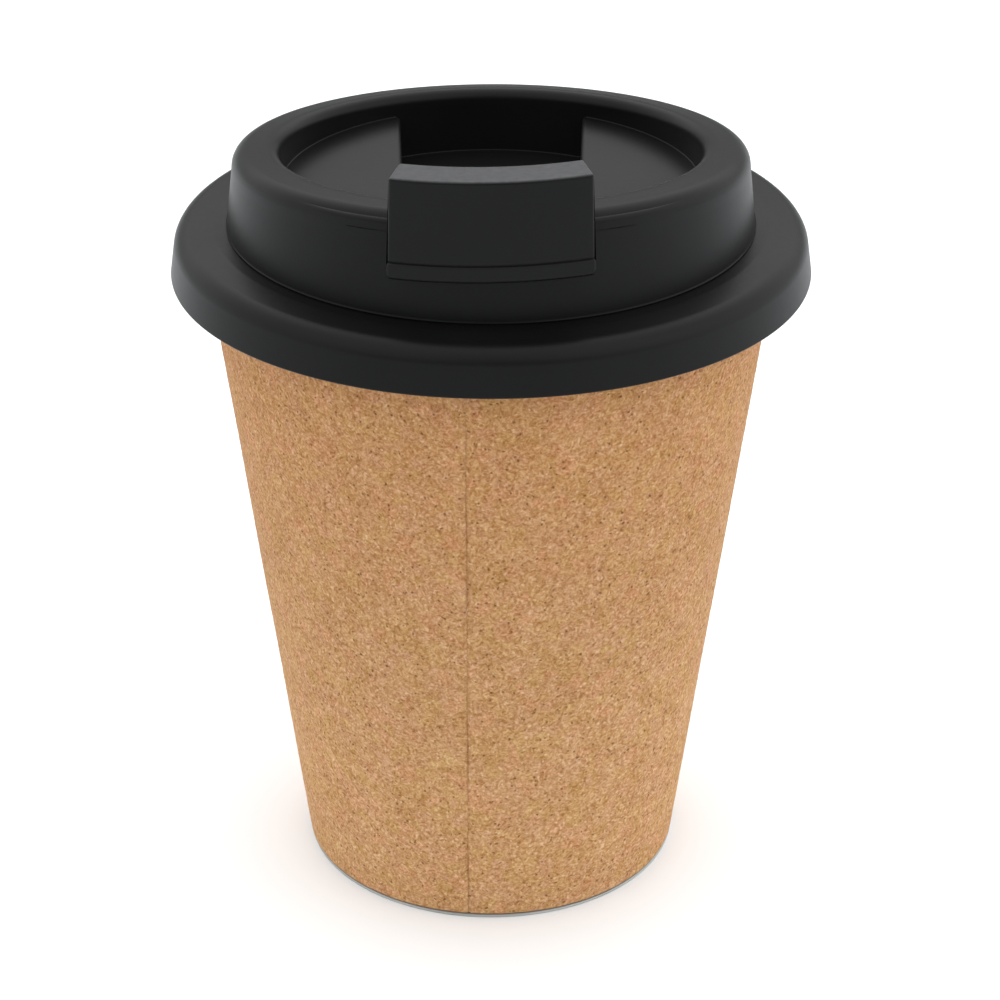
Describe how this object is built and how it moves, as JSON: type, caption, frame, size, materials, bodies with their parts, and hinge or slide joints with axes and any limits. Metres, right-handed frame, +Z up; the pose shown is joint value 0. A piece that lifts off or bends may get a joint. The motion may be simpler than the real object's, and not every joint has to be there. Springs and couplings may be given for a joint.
{
  "type": "travel cup",
  "caption": "Cork-clad double-wall travel cup with a push-on lid whose hinged flap closes the sip hole.",
  "frame": {"origin": "centre of the base, at the level of the surface that the cup stands on", "axes": "+Z up along the cup's axis; the sip hole and the flap's tab are at -Y; +X to the right seen from the tab side"},
  "size_m": [0.0952, 0.0952, 0.1267],
  "materials": {
    "cork": "agglomerated cork, fine granules, matt",
    "lid_black": "satin black polypropylene",
    "liner_black": "smooth black polypropylene",
    "base_grey": "matt grey polypropylene",
    "silicone_grey": "dark grey silicone"
  },
  "bodies": {
    "cup": {"base_cap": "base_grey", "outer_wall": "liner_black", "cork_sleeve": "cork", "inner_cup": "liner_black"},
    "lid": {"lid_brim": "lid_black", "lid_top": "lid_black", "lid_gasket": "silicone_grey"},
    "flap": {"flap": "lid_black", "sip_plug": "silicone_grey", "vent_plug": "silicone_grey"}
  },
  "joints": [
    {"name": "lid_lift", "type": "slide", "parent": "cup", "child": "lid", "axis": [0, 0, 1], "range_m": [0, 0.06]},
    {"name": "flap_hinge", "type": "hinge", "parent": "lid", "child": "flap", "pos_m": [0, -0.009, 0.10765], "axis": [-1, 0, 0], "range_deg": [0, 147]}
  ]
}
